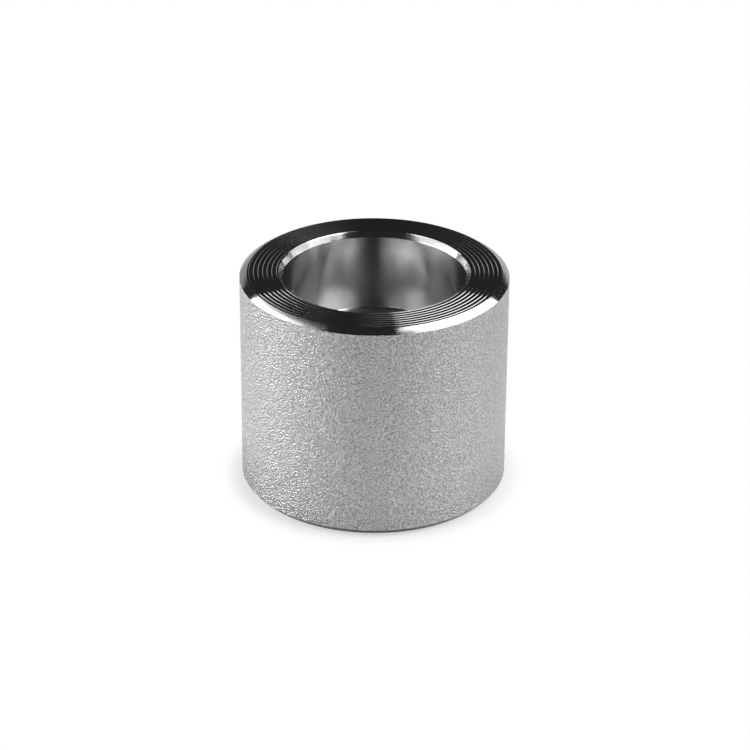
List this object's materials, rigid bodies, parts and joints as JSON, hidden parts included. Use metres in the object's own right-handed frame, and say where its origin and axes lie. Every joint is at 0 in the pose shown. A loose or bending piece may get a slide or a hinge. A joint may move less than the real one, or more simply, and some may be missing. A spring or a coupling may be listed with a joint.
{
  "type": "socket weld reducing coupling",
  "caption": "Short turned steel cylinder with a pipe socket bored in each end, a large one on top and a smaller one below, joined by a narrower flow bore.",
  "frame": {"origin": "centre of the lower end face, on the coupling's axis, where it stands on its small end", "axes": "+Z along the axis, from the small socket's end up to the large socket's end"},
  "size_m": [0.032, 0.032, 0.027],
  "materials": {
    "steel_body": "satin blasted outside, bright turned end faces and sockets"
  },
  "bodies": {
    "root": {"coupling_body": "steel_body"}
  },
  "joints": []
}
